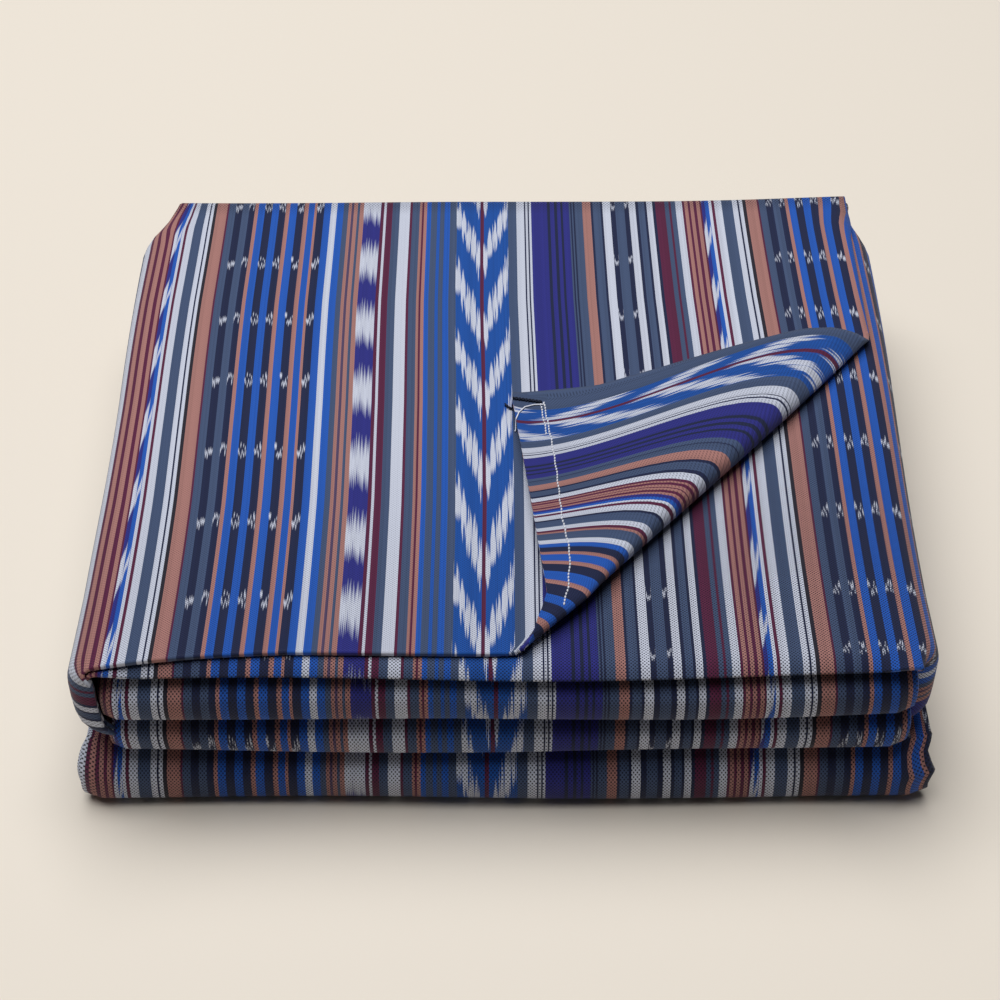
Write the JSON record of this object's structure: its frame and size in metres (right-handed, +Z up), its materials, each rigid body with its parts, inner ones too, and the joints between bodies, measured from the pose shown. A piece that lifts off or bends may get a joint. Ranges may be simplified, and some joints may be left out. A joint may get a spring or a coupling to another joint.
{
  "type": "folded ikat fabric",
  "caption": "Length of striped cotton ikat cloth, folded into a flat rectangular stack with one corner of the top leaf turned back.",
  "frame": {"origin": "middle of the base of the folded stack, on the surface it rests on", "axes": "+Z up; the rounded fold bands and the cut end of the top leaf face -Y; +X runs along the front, towards the leaf's turned corner; the stripes run along Y"},
  "size_m": [0.3286, 0.299, 0.0831],
  "materials": {
    "cloth": "matt woven cotton"
  },
  "bodies": {
    "root": {"cloth": "cloth"}
  },
  "joints": []
}
